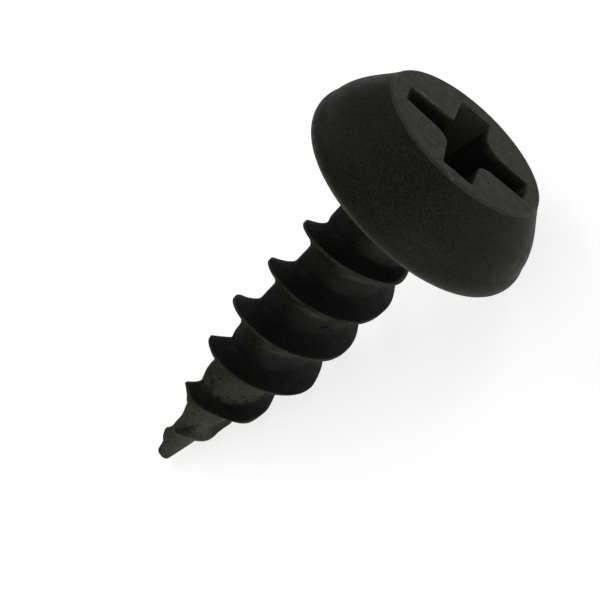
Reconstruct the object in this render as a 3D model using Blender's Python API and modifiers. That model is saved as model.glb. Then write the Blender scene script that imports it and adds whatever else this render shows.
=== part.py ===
"""A short pan head screw for drywall framing: one solid of steel with a cross recess in a flat topped
head, and a thread of two starts that runs out along a sharp point.

Everything is in metres with +Z up. The screw is made on its own axis, with the bearing face of the head
at z = 0 and the point downwards, and is then laid down as it rests on a table, on the rim of its head
and on one crest of its thread.
"""

import math

import bmesh
import bpy
from mathutils import Matrix, Vector

# Head
HEAD_DIAMETER = 0.00707
HEAD_TOP_DIAMETER = 0.0052
HEAD_HEIGHT = 0.00258
RIM_RADIUS = 0.00064
TOP_EDGE_RADIUS = 0.00012
SIDE_CROWN = 0.00011

# Cross recess
RECESS_SPAN = 0.0041
RECESS_DEPTH = 0.0019
RECESS_FLOOR_DROP = 0.00025
RECESS_FLOOR_SHARE = 0.15
WING_TIP_WIDTH = 0.0009
WING_ROOT_WIDTH = 0.00112
WING_CORNER_RADIUS = 0.00009
WEB_CORNER_RADIUS = 0.00036
WING_END_TAPER = math.radians(26.5)
WING_SIDE_TAPER = math.radians(4.5)

# Shank and point
SHANK_LENGTH = 0.01117
NECK_DIAMETER = 0.00242
NECK_LENGTH = 0.0017
NECK_TAPER_LENGTH = 0.0005
CORE_DIAMETER = 0.00216
POINT_LENGTH = 0.00529
TIP_RADIUS = 0.00017
FILLET_HEIGHT = 0.0003
FILLET_REACH = 0.0003

# Thread
THREAD_STARTS = 2
CREST_DIAMETER = 0.00327
CREST_SPACING = 0.00161
HEAD_SIDE_FLANK = 0.00057
POINT_SIDE_FLANK = 0.00045
CREST_LAND = 0.00013
FLANK_BEND_HEIGHT = 0.3
FLANK_BEND_WIDTH = 0.49
LEAST_WIDTH_SHARE = 0.35
ROOT_SINK = 0.00018
MOST_SINK_SHARE = 0.5
THREAD_START_DEPTH = 0.0009
THREAD_START_TURN = math.radians(-2.6)
RUN_IN_DEPTH = 0.00055
CREST_TAPER_LENGTH = 0.00523
CREST_TAPER_POWER = 0.75
THREAD_END_CLEARANCE = 0.0005
THREAD_LEAN = 0.00014
THREAD_LEAN_TURN = math.radians(160.0)

# Resting place
REST_ROLL = math.radians(-33.0)
STEEPEST_TILT = math.radians(45.0)
TILT_HALVINGS = 50
TILT_SAMPLES = 400

# Fineness of the mesh
TURN_STEPS = 60
THREAD_STEPS = 44
ARC_STEPS = 5
RIM_STEPS = 7
TOP_EDGE_STEPS = 3
TIP_STEPS = 4
WING_CORNER_STEPS = 2
RECESS_RINGS = 3
OVERSHOOT = 0.0003
MERGE = 0.000001
SHARP_ANGLE = math.radians(28.0)

LEAD = CREST_SPACING * THREAD_STARTS
NECK_RADIUS = NECK_DIAMETER / 2
CORE_RADIUS = CORE_DIAMETER / 2
CREST_RADIUS = CREST_DIAMETER / 2
THREAD_HEIGHT = CREST_RADIUS - CORE_RADIUS


def clear_scene():
    """Takes every object out of the open scene."""
    for obj in list(bpy.data.objects):
        bpy.data.objects.remove(obj, do_unlink=True)


def make_collection(name, hidden=False):
    collection = bpy.data.collections.new(name)
    collection.hide_render = hidden
    bpy.context.scene.collection.children.link(collection)
    return collection


def steel_finish():
    """Black phosphate over steel: dark, faintly olive and dull."""
    material = bpy.data.materials.new("black_phosphate")
    material.use_nodes = True
    shader = material.node_tree.nodes["Principled BSDF"]
    shader.inputs["Base Color"].default_value = (0.035, 0.037, 0.031, 1.0)
    shader.inputs["Metallic"].default_value = 0.35
    shader.inputs["Roughness"].default_value = 0.5
    return material


def arc(centre, radii, start, end, steps=ARC_STEPS):
    """Points of an arc of a circle or an ellipse, both ends included."""
    points = []
    for step in range(steps + 1):
        angle = start + (end - start) * step / steps
        points.append((centre[0] + radii[0] * math.cos(angle), centre[1] + radii[1] * math.sin(angle)))
    return points


def core_radius(depth):
    """Radius of the plain neck and core at a depth below the bearing face."""
    share = min(max((SHANK_LENGTH - depth) / POINT_LENGTH, 0.0), 1.0)
    thinned = min(max((depth - NECK_LENGTH) / NECK_TAPER_LENGTH, 0.0), 1.0)
    return TIP_RADIUS + (CORE_RADIUS - TIP_RADIUS) * share + (NECK_RADIUS - CORE_RADIUS) * (1 - thinned)


def crest_radius(depth):
    """Radius of the thread's crest at a depth below the bearing face."""
    share = min(max((SHANK_LENGTH - depth) / CREST_TAPER_LENGTH, 0.0), 1.0)
    run_in = min(max((depth - THREAD_START_DEPTH) / RUN_IN_DEPTH, 0.0), 1.0)
    full = CREST_RADIUS * share**CREST_TAPER_POWER
    core = core_radius(depth)
    return core + max(full - core, 0.0) * math.sin(run_in * math.pi / 2)


def head_profile():
    """The head's outer side in half section, from the middle of its top down to the bearing face."""
    rim_centre = (HEAD_DIAMETER / 2 - RIM_RADIUS, RIM_RADIUS)
    edge_centre = (HEAD_TOP_DIAMETER / 2 - TOP_EDGE_RADIUS, HEAD_HEIGHT - TOP_EDGE_RADIUS)
    run = rim_centre[0] - edge_centre[0]
    rise = edge_centre[1] - rim_centre[1]
    span = math.hypot(run, rise)
    # The side touches both rounds, so its normal leans up by this angle.
    lean = math.atan2(run, rise) + math.asin((RIM_RADIUS - TOP_EDGE_RADIUS) / span)
    normal = (math.cos(lean), math.sin(lean))
    points = [(0.0, HEAD_HEIGHT)]
    points += arc(edge_centre, (TOP_EDGE_RADIUS, TOP_EDGE_RADIUS), math.pi / 2, lean, TOP_EDGE_STEPS)
    high = points[-1]
    low = (rim_centre[0] + RIM_RADIUS * normal[0], rim_centre[1] + RIM_RADIUS * normal[1])
    for step in range(1, ARC_STEPS):
        share = step / ARC_STEPS
        # The side bulges most at two thirds of the way down, where this share is 1.
        crown = SIDE_CROWN * 6.75 * share**2 * (1 - share)
        points.append(
            (
                high[0] + (low[0] - high[0]) * share + normal[0] * crown,
                high[1] + (low[1] - high[1]) * share + normal[1] * crown,
            )
        )
    points += arc(rim_centre, (RIM_RADIUS, RIM_RADIUS), lean, -math.pi / 2, RIM_STEPS)
    return points


def shank_profile():
    """The fillet under the head, the neck, the core and the point, down to the tip on the axis."""
    centre = (NECK_RADIUS + FILLET_REACH, -FILLET_HEIGHT)
    points = arc(centre, (FILLET_REACH, FILLET_HEIGHT), math.pi / 2, math.pi)
    points.append((NECK_RADIUS, -NECK_LENGTH))
    points.append((CORE_RADIUS, -(NECK_LENGTH + NECK_TAPER_LENGTH)))
    points.append((CORE_RADIUS, -(SHANK_LENGTH - POINT_LENGTH)))
    slope = math.atan2(CORE_RADIUS - TIP_RADIUS, POINT_LENGTH)
    tip_centre = (0.0, -SHANK_LENGTH + TIP_RADIUS)
    points += arc(tip_centre, (TIP_RADIUS, TIP_RADIUS), -slope, -math.pi / 2, TIP_STEPS)
    points[-1] = (0.0, -SHANK_LENGTH)
    return points


def turned(name, profile, collection):
    """A solid of revolution: the profile runs down its outer side, from the axis back to the axis."""
    mesh = bpy.data.meshes.new(name)
    vertices = [(radius, 0.0, height) for radius, height in profile]
    mesh.from_pydata(vertices, [(i, i + 1) for i in range(len(vertices) - 1)], [])
    obj = bpy.data.objects.new(name, mesh)
    collection.objects.link(obj)
    screw = obj.modifiers.new("turn", "SCREW")
    screw.axis = "Z"
    screw.steps = TURN_STEPS
    screw.render_steps = TURN_STEPS
    screw.use_merge_vertices = True
    screw.merge_threshold = MERGE
    return obj


def loft(name, rings, collection):
    """A closed solid through rings of points that have the same count and run the same way round."""
    body = bmesh.new()
    made = [[body.verts.new(point) for point in ring] for ring in rings]
    for ring, following in zip(made, made[1:]):
        for i in range(len(ring)):
            j = (i + 1) % len(ring)
            body.faces.new((ring[i], ring[j], following[j], following[i]))
    body.faces.new(list(reversed(made[0])))
    body.faces.new(made[-1])
    bmesh.ops.recalc_face_normals(body, faces=body.faces)
    bmesh.ops.triangulate(body, faces=body.faces)
    mesh = bpy.data.meshes.new(name)
    body.to_mesh(mesh)
    body.free()
    obj = bpy.data.objects.new(name, mesh)
    collection.objects.link(obj)
    obj.hide_render = True
    obj.display_type = "WIRE"
    return obj


def ridge_section(depth):
    """The ridge's section at a depth, as radius and height from the crest's own level."""
    core = core_radius(depth)
    crest = crest_radius(depth)
    share = (crest - core) / THREAD_HEIGHT
    width = LEAST_WIDTH_SHARE + (1 - LEAST_WIDTH_SHARE) * share
    sunk = max(core - ROOT_SINK, core * MOST_SINK_SHARE)
    bend = core + (crest - core) * FLANK_BEND_HEIGHT
    land = CREST_LAND / 2
    up = HEAD_SIDE_FLANK * width
    down = POINT_SIDE_FLANK * width
    return [
        (sunk, up),
        (core, up),
        (bend, up * FLANK_BEND_WIDTH),
        (crest, land),
        (crest, -land),
        (bend, -down * FLANK_BEND_WIDTH),
        (core, -down),
        (sunk, -down),
    ]


def thread_ridge(name, start_turn, collection):
    """One start of the thread: a right-hand ridge that rises from the core, winds down and runs out."""
    end_depth = SHANK_LENGTH - THREAD_END_CLEARANCE
    turns = (end_depth - THREAD_START_DEPTH) / LEAD
    steps = round(turns * THREAD_STEPS)
    rings = []
    for step in range(steps + 1):
        depth = THREAD_START_DEPTH + (end_depth - THREAD_START_DEPTH) * step / steps
        angle = start_turn - math.tau * (depth - THREAD_START_DEPTH) / LEAD
        lean = THREAD_LEAN * math.cos(angle - THREAD_LEAN_TURN)
        ring = []
        for radius, rise in ridge_section(depth):
            ring.append((radius * math.cos(angle), radius * math.sin(angle), rise + lean - depth))
        rings.append(ring)
    return loft(name, rings, collection)


def rounded_corner(corner, before, after, radius, steps):
    """Points of the arc that rounds a corner between the points before and after it."""
    corner = Vector(corner)
    back = (Vector(before) - corner).normalized()
    ahead = (Vector(after) - corner).normalized()
    half = back.angle(ahead) / 2
    reach = radius / math.tan(half)
    centre = corner + (back + ahead).normalized() * radius / math.sin(half)
    first = corner + back * reach - centre
    last = corner + ahead * reach - centre
    turn = first.angle_signed(last)
    points = []
    for step in range(steps + 1):
        share = -turn * step / steps
        points.append(
            (
                centre.x + first.x * math.cos(share) - first.y * math.sin(share),
                centre.y + first.x * math.sin(share) + first.y * math.cos(share),
            )
        )
    return points


def cross_outline(depth):
    """The recess's outline at a depth below the head's top: four wings with rounded corners."""
    reach = RECESS_SPAN / 2 - depth * math.tan(WING_END_TAPER)
    narrowing = depth * math.tan(WING_SIDE_TAPER)
    tip = WING_TIP_WIDTH / 2 - narrowing
    root = WING_ROOT_WIDTH / 2 - narrowing
    slope = (WING_ROOT_WIDTH - WING_TIP_WIDTH) / RECESS_SPAN
    web = root / (1 + slope)
    outline = []
    for quarter in range(4):
        turn = Matrix.Rotation(quarter * math.pi / 2, 2)
        low = (reach, -tip)
        high = (reach, tip)
        inner = (web, web)
        points = rounded_corner(low, (web, -web), high, WING_CORNER_RADIUS, WING_CORNER_STEPS)
        points += rounded_corner(high, low, inner, WING_CORNER_RADIUS, WING_CORNER_STEPS)
        points += rounded_corner(inner, high, (tip, reach), WEB_CORNER_RADIUS, ARC_STEPS)
        outline += [tuple(turn @ Vector(point)) for point in points]
    return outline


def recess_cutter(collection):
    """The driver's cross: wings that close in with depth, over a shallow pointed floor."""
    rings = [[(x, y, HEAD_HEIGHT + OVERSHOOT) for x, y in cross_outline(0.0)]]
    for step in range(RECESS_RINGS + 1):
        depth = RECESS_DEPTH * step / RECESS_RINGS
        rings.append([(x, y, HEAD_HEIGHT - depth) for x, y in cross_outline(depth)])
    floor = []
    for x, y, z in rings[-1]:
        floor.append((x * RECESS_FLOOR_SHARE, y * RECESS_FLOOR_SHARE, z - RECESS_FLOOR_DROP))
    rings.append(floor)
    return loft("recess_cutter", rings, collection)


def add_boolean(obj, other, operation):
    modifier = obj.modifiers.new(f"{operation.lower()} {other.name}", "BOOLEAN")
    modifier.operation = operation
    modifier.solver = "EXACT"
    modifier.object = other


def add_smoothing(obj):
    """Shades the finished shape smooth, and leaves every edge sharper than SHARP_ANGLE as an edge."""
    tree = bpy.data.node_groups.new("smooth but for edges", "GeometryNodeTree")
    tree.interface.new_socket("Geometry", in_out="INPUT", socket_type="NodeSocketGeometry")
    tree.interface.new_socket("Geometry", in_out="OUTPUT", socket_type="NodeSocketGeometry")
    start = tree.nodes.new("NodeGroupInput")
    end = tree.nodes.new("NodeGroupOutput")
    angle = tree.nodes.new("GeometryNodeInputMeshEdgeAngle")
    sharp = tree.nodes.new("FunctionNodeCompare")
    sharp.operation = "GREATER_THAN"
    sharp.inputs["B"].default_value = SHARP_ANGLE
    faces = tree.nodes.new("GeometryNodeSetShadeSmooth")
    edges = tree.nodes.new("GeometryNodeSetShadeSmooth")
    edges.domain = "EDGE"
    edges.inputs["Shade Smooth"].default_value = False
    tree.links.new(start.outputs["Geometry"], faces.inputs["Geometry"])
    tree.links.new(faces.outputs["Geometry"], edges.inputs["Geometry"])
    tree.links.new(angle.outputs["Unsigned Angle"], sharp.inputs["A"])
    tree.links.new(sharp.outputs["Result"], edges.inputs["Selection"])
    tree.links.new(edges.outputs["Geometry"], end.inputs["Geometry"])
    modifier = obj.modifiers.new("smooth but for edges", "NODES")
    modifier.node_group = tree


def resting_tilt():
    """How far the head's end is raised when the rim and the thread's crest touch the table together."""
    rim_reach = HEAD_DIAMETER / 2 - RIM_RADIUS
    depths = [SHANK_LENGTH * step / TILT_SAMPLES for step in range(TILT_SAMPLES + 1)]
    low = 0.0
    high = STEEPEST_TILT
    for _ in range(TILT_HALVINGS):
        tilt = (low + high) / 2
        rim = RIM_RADIUS * math.sin(tilt) - rim_reach * math.cos(tilt) - RIM_RADIUS
        crest = min(-depth * math.sin(tilt) - crest_radius(depth) * math.cos(tilt) for depth in depths)
        if crest > rim:
            low = tilt
        else:
            high = tilt
    return (low + high) / 2


def evaluated_corners(obj, turn):
    """The lowest and highest corner of the finished shape once it is turned."""
    graph = bpy.context.evaluated_depsgraph_get()
    mesh = bpy.data.meshes.new_from_object(obj.evaluated_get(graph))
    points = [turn @ vertex.co for vertex in mesh.vertices]
    bpy.data.meshes.remove(mesh)
    low = Vector([min(point[axis] for point in points) for axis in range(3)])
    high = Vector([max(point[axis] for point in points) for axis in range(3)])
    return low, high


def lay_down(screw, axis):
    """Lays the screw along X on the plane z = 0, head at +X, centred on the origin."""
    roll = Matrix.Rotation(REST_ROLL, 4, "Z")
    lie = Matrix.Rotation(math.pi / 2 - resting_tilt(), 4, "Y")
    turn = lie @ roll
    low, high = evaluated_corners(screw, turn)
    place = Matrix.Translation((-(low.x + high.x) / 2, -(low.y + high.y) / 2, -low.z))
    axis.matrix_world = place @ turn


def build_screw():
    parts = make_collection("drywall_screw")
    tools = make_collection("cutters", hidden=True)
    axis = bpy.data.objects.new("screw_axis", None)
    parts.objects.link(axis)
    screw = turned("screw", head_profile() + shank_profile(), parts)
    for start in range(THREAD_STARTS):
        start_turn = THREAD_START_TURN + math.tau * start / THREAD_STARTS
        ridge = thread_ridge(f"thread_ridge_{start + 1}", start_turn, tools)
        add_boolean(screw, ridge, "UNION")
    add_boolean(screw, recess_cutter(tools), "DIFFERENCE")
    add_smoothing(screw)
    for piece in (screw, *tools.objects):
        piece.parent = axis
    screw.data.materials.append(steel_finish())
    bpy.context.view_layer.update()
    lay_down(screw, axis)
    return screw


clear_scene()
build_screw()
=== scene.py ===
"""The drywall screw as it was photographed: black phosphated steel, a flat topped pan head with a cross
recess, and a thread of two starts that runs out along a blunt, slightly bent point.

Lengths are in metres. The screw's own axis runs through its head: the bearing face is at z = 0, the head
is above it and the point below, and angles are turned about that axis from the recess's first wing.
"""

from __future__ import annotations

import logging
import math
from dataclasses import dataclass, field
from enum import Enum
from typing import Union

import bpy
import numpy as np
from mathutils import Euler, Matrix, Vector, noise

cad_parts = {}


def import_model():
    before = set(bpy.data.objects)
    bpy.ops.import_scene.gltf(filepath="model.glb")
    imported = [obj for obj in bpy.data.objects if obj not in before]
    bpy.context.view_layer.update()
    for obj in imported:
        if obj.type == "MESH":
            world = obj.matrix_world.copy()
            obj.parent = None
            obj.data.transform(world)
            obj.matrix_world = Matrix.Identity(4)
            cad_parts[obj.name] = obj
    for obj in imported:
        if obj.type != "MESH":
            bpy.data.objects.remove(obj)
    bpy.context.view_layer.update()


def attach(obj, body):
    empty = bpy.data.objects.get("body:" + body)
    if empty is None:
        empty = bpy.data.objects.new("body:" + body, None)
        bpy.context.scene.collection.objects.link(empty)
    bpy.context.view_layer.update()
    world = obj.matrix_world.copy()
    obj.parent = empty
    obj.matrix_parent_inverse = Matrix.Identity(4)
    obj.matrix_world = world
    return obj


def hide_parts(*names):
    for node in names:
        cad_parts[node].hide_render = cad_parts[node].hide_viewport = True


LOG = logging.getLogger("drywall_screw")
NODE = "screw"
BODY = "root"
CROWN_PEAK = 27 / 4  # share * share * (1 - share) is at most 4 / 27


@dataclass(frozen=True)
class Resting:
    """How the screw lies: its tilt, its roll and the middle of its bearing face."""

    tilt: float = math.radians(15.717087)
    roll: float = math.radians(-33.0)
    middle: tuple[float, float, float] = (0.0037998559, 0.0, 0.0032936167)

    def matrix(self) -> Matrix:
        """The turn and shift from the screw's own axis to the table.

        Returns:
            The matrix that lays the screw down.
        """
        lie = Matrix.Rotation(math.pi / 2 - self.tilt, 4, "Y")
        roll = Matrix.Rotation(self.roll, 4, "Z")
        return Matrix.Translation(self.middle) @ lie @ roll


Value = Union["Wire", float, int, bpy.types.NodeSocket]
Place = tuple["Wire", "Wire", "Wire"]  # x, y and z on the screw's own axis
Band = tuple[float, float]  # where a ramp starts and where it ends
Grain = tuple[float, float, float]  # a noise's fineness, its finer layers and how strong they are
WHITE = (1.0, 1.0, 1.0, 1.0)


class Wire:
    """One value inside a node tree; sums and products of wires add the nodes that work them out."""

    def __init__(self, graph: "Graph", socket: bpy.types.NodeSocket) -> None:
        """Keeps the socket that carries the value.

        Args:
            graph: The tree that the socket belongs to.
            socket: The output that carries the value.
        """
        self.graph = graph
        self.socket = socket

    def math(self, operation: str, *others: Value) -> "Wire":
        """Adds one sum of this wire and others.

        Args:
            operation: The sum's name.
            others: Its further values, in order.

        Returns:
            The result.
        """
        node = self.graph.add("ShaderNodeMath", (self, *others), operation=operation)
        return Wire(self.graph, node.outputs[0])

    def __add__(self, other: Value) -> "Wire":
        """This plus another."""
        return self.math("ADD", other)

    def __radd__(self, other: Value) -> "Wire":
        """Another plus this."""
        return self.math("ADD", other)

    def __sub__(self, other: Value) -> "Wire":
        """This less another."""
        return self.math("SUBTRACT", other)

    def __rsub__(self, other: Value) -> "Wire":
        """Another less this."""
        return self.graph.number(other).math("SUBTRACT", self)

    def __mul__(self, other: Value) -> "Wire":
        """This times another."""
        return self.math("MULTIPLY", other)

    def __rmul__(self, other: Value) -> "Wire":
        """Another times this."""
        return self.math("MULTIPLY", other)

    def __truediv__(self, other: Value) -> "Wire":
        """This over another."""
        return self.math("DIVIDE", other)

    def __pow__(self, other: Value) -> "Wire":
        """This to a power."""
        return self.math("POWER", other)

    def __neg__(self) -> "Wire":
        """This with its sign changed."""
        return self.math("MULTIPLY", -1.0)

    def least(self, other: Value) -> "Wire":
        """The smaller of two values."""
        return self.math("MINIMUM", other)

    def most(self, other: Value) -> "Wire":
        """The larger of two values."""
        return self.math("MAXIMUM", other)

    def unit(self) -> "Wire":
        """This held between 0 and 1."""
        return self.most(0.0).least(1.0)

    def ramp(self, low: float, high: float) -> "Wire":
        """Rises softly from 0 to 1 between two values.

        Args:
            low: Where the rise starts.
            high: Where it ends.

        Returns:
            The share risen.
        """
        share = ((self - low) / (high - low)).unit()
        return share * share * (3.0 - 2.0 * share)

    def fall(self, low: float, high: float) -> "Wire":
        """Falls softly from 1 to 0 between two values."""
        return 1.0 - self.ramp(low, high)

    def facing(self, turn: float, reach: Band) -> "Wire":
        """How near this angle is to a turn.

        Args:
            turn: The turn that it is 1 at, in radians.
            reach: How far away it is 0, and how near it is 1, in degrees.

        Returns:
            The share.
        """
        none, whole = (math.cos(math.radians(bound)) for bound in reach)
        return (self - turn).math("COSINE").ramp(none, whole)


class Graph:
    """A node tree under construction, with one way to add a node."""

    def __init__(self, tree: bpy.types.NodeTree) -> None:
        """Starts from an open tree.

        Args:
            tree: The tree to add nodes to.
        """
        self.tree = tree

    def add(self, kind: str, values: tuple | dict = (), **settings: object) -> bpy.types.Node:
        """Adds a node, sets it up and joins its inputs.

        Args:
            kind: The node's type.
            values: Its inputs, in order or by name; a wire or a socket is joined, anything else is set.
            settings: The node's own properties.

        Returns:
            The new node.
        """
        node = self.tree.nodes.new(kind)
        for key, setting in settings.items():
            setattr(node, key, setting)
        pairs = values.items() if isinstance(values, dict) else enumerate(values)
        for key, value in pairs:
            if isinstance(value, Wire):
                value = value.socket
            if isinstance(value, bpy.types.NodeSocket):
                self.tree.links.new(value, node.inputs[key])
            else:
                node.inputs[key].default_value = value
        return node

    def wire(self, kind: str, values: tuple | dict = (), output: str | int = 0, **settings: object) -> Wire:
        """Adds a node and gives one of its outputs.

        Args:
            kind: The node's type.
            values: Its inputs, as for add.
            output: The output's name or place.
            settings: The node's own properties.

        Returns:
            The output as a wire.
        """
        return Wire(self, self.add(kind, values, **settings).outputs[output])

    def number(self, value: Value) -> Wire:
        """A plain number as a wire.

        Args:
            value: The number, or a wire that is returned as it is.

        Returns:
            The wire.
        """
        if isinstance(value, Wire):
            return value
        node = self.add("ShaderNodeValue")
        node.outputs[0].default_value = float(value)
        return Wire(self, node.outputs[0])

    def vector(self, x: Value, y: Value, z: Value) -> Wire:
        """Three values as one vector."""
        return self.wire("ShaderNodeCombineXYZ", (x, y, z))

    def parts(self, vector: Value) -> tuple[Wire, Wire, Wire]:
        """The three values of a vector.

        Args:
            vector: The vector.

        Returns:
            Its x, y and z.
        """
        node = self.add("ShaderNodeSeparateXYZ", (vector,))
        return tuple(Wire(self, output) for output in node.outputs[:3])

    def vector_math(self, operation: str, *values: object, output: str = "Vector") -> Wire:
        """Adds one vector sum.

        Args:
            operation: The sum's name.
            values: Its inputs, in order.
            output: Which result is wanted.

        Returns:
            The result.
        """
        return self.wire("ShaderNodeVectorMath", values, output=output, operation=operation)

    def grain(self, place: Value, scale: float, detail: float = 2.0, rough: float = 0.5) -> Wire:
        """Soft random noise, mostly between 0.3 and 0.7.

        Args:
            place: The vector that it is read at.
            scale: Its fineness.
            detail: How many finer layers it has.
            rough: How strong those layers are.

        Returns:
            The noise.
        """
        values = {"Vector": place, "Scale": scale, "Detail": detail, "Roughness": rough}
        return self.wire("ShaderNodeTexNoise", values)


@dataclass(frozen=True)
class Mark:
    """A small dent, lap or shift that the rolling left on the thread.

    The place is a turn about the axis, in degrees, and a depth below the bearing face. The rise is outwards,
    or towards the head where the mark shifts the crest; below 0 it is a dent, or a shift towards the point.
    A mark of the finish has a share for its rise, and is a stain below 0.
    """

    turn: float
    depth: float
    turn_reach: float
    depth_reach: float
    rise: float

    def shape(self, angle: Wire, depth: Wire) -> Wire:
        """How far the mark moves the surface, or how strong it is in the finish, at a place.

        Args:
            angle: The turn about the axis.
            depth: The depth below the bearing face.

        Returns:
            The rise in metres, or the share.
        """
        level = math.cos(math.radians(self.turn_reach))
        round_it = ((angle - math.radians(self.turn)).math("COSINE") - level) / (1.0 - level)
        along = 1.0 - ((depth - self.depth) / self.depth_reach).math("ABSOLUTE")
        return round_it.ramp(0.0, 1.0) * along.ramp(0.0, 1.0) * self.rise


@dataclass(frozen=True)
class ScrewForm:
    """The sizes of the shank, its point and its thread, and the curves that they make."""

    length: float = 0.01117
    neck: float = 0.00121
    neck_length: float = 0.0017
    neck_taper: float = 0.0005
    core: float = 0.00108
    crest: float = 0.001635
    point: float = 0.00529
    tip: float = 0.00017
    spacing: float = 0.00161
    starts: int = 2
    start_depth: float = 0.0009
    start_turn: float = math.radians(-2.6)
    run_in: float = 0.00055
    taper: float = 0.00523
    taper_power: float = 0.75
    end_clearance: float = 0.0004
    head_flank: float = 0.00050
    point_flank: float = 0.0004
    land: float = 0.00005
    point_power: float = 1.7
    head_power: float = 1.45
    least_width: float = 0.35
    fillet_height: float = 0.0003
    fillet_reach: float = 0.0003
    lean: float = 0.00014
    lean_growth: float = 0.6
    lean_growth_start: float = 0.5
    lean_growth_run: float = 0.14
    lean_turn: float = math.radians(160.0)
    shifts: tuple[Mark, ...] = (
        Mark(190.0, 0.0045, 50.0, 0.0025, 0.00003),
        Mark(180.0, 0.0072, 50.0, 0.0009, 0.00006),
        Mark(252.0, 0.0083, 60.0, 0.0008, -0.00010),
    )
    bend: float = 0.00013
    bend_turn: float = math.radians(-56.0)
    hair: float = 1e-6

    @property
    def lead(self) -> float:
        """How far one start of the thread moves along the axis in a turn."""
        return self.spacing * self.starts

    @property
    def foot(self) -> float:
        """Where a line that winds midway between two crests starts, below the tip.

        Returns:
            Its height at angle 0.
        """
        foot = -self.start_depth - self.lead * self.start_turn / math.tau + self.lead / 4
        while foot > -self.length - self.lean * (1 + self.lean_growth):
            foot -= self.spacing
        return foot

    def lean_at(self, angle: Wire, depth: Wire) -> Wire:
        """How far the thread is moved along the axis.

        Args:
            angle: The turn about the axis.
            depth: The depth below the bearing face.

        Returns:
            The distance towards the head.
        """
        below = depth - self.length * self.lean_growth_start
        grown = below.ramp(0.0, self.length * self.lean_growth_run) * self.lean_growth
        moved = (angle - self.lean_turn).math("COSINE") * self.lean * (1.0 + grown)
        for shift in self.shifts:
            moved = moved + shift.shape(angle, depth)
        return moved

    def past_crest(self, angle: Wire, height: Wire) -> Wire:
        """How far a place is past the last crest, towards the point.

        Args:
            angle: The turn about the axis.
            height: The height above the bearing face.

        Returns:
            The distance along the axis.
        """
        nominal = height - self.lean_at(angle, -height)
        across = angle / math.tau - (nominal - self.foot) / self.lead
        return (across * self.starts + 0.5).math("FRACT") * self.spacing

    def core_at(self, depth: Wire) -> Wire:
        """Radius of the plain neck and core.

        Args:
            depth: The depth below the bearing face.

        Returns:
            The radius.
        """
        share = ((self.length - depth) / self.point).unit()
        thinned = ((depth - self.neck_length) / self.neck_taper).unit()
        return self.tip + (self.core - self.tip) * share + (self.neck - self.core) * (1.0 - thinned)

    def crest_at(self, depth: Wire) -> Wire:
        """Radius of the thread's crest.

        Args:
            depth: The depth below the bearing face.

        Returns:
            The radius.
        """
        share = ((self.length - depth) / self.taper).unit()
        started = ((depth - self.start_depth) / self.run_in).unit()
        ended = ((self.length - self.end_clearance - depth) / self.run_in).unit()
        core = self.core_at(depth)
        full = share**self.taper_power * self.crest
        rise = started.ramp(0.0, 1.0) * ended.ramp(0.0, 1.0)
        return core + (full - core).most(0.0) * rise

    def flank_at(self, share: Wire, away: Wire, width: float, power: float) -> Wire:
        """How much of the ridge stands at a distance from its crest on one flank.

        Args:
            share: How much of its full height the ridge has here.
            away: The distance from the crest along the axis.
            width: The flank's full width.
            power: How hollow the flank is; 1 is straight.

        Returns:
            The share of the ridge's height.
        """
        narrowed = (self.least_width + (1.0 - self.least_width) * share) * width
        out = ((away - self.land) / narrowed).unit()
        return (1.0 - out) ** power

    def radius_at(self, depth: Wire, away: Wire) -> Wire:
        """Radius of the dressed shank.

        Args:
            depth: The depth below the bearing face.
            away: The distance from the nearest crest, positive towards the point.

        Returns:
            The radius.
        """
        core = self.core_at(depth)
        crest = self.crest_at(depth)
        share = ((crest - core) / (self.crest - self.core)).unit()
        below = self.flank_at(share, away, self.point_flank, self.point_power)
        above = self.flank_at(share, -away, self.head_flank, self.head_power)
        ridge = core + (crest - core) * below.least(above)
        hollow = ((self.fillet_height - depth) / self.fillet_height).unit()
        fillet = self.neck + self.fillet_reach * (1.0 - (1.0 - hollow * hollow) ** 0.5)
        return ridge.most(fillet * (depth * -1.0 + self.fillet_height).ramp(0.0, self.hair))


def plain_mesh(obj: bpy.types.Object, name: str) -> bpy.types.Object:
    """Turns an object with modifiers into a plain mesh at the origin.

    Args:
        obj: The object; it is removed.
        name: The new object's name.

    Returns:
        The plain object.
    """
    graph = bpy.context.evaluated_depsgraph_get()
    mesh = bpy.data.meshes.new_from_object(obj.evaluated_get(graph))
    mesh.name = name
    bpy.data.objects.remove(obj, do_unlink=True)
    plain = bpy.data.objects.new(name, mesh)
    bpy.context.scene.collection.objects.link(plain)
    return plain


class Size(Enum):
    """The named sizes that the shank's tree is given."""

    TURNS = "Turns"
    FIRST_HEIGHT = "First Height"
    LEAD = "Lead"
    CAP = "Cap"
    CROWDING = "Crowding"
    ROUGHNESS = "Roughness"


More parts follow.
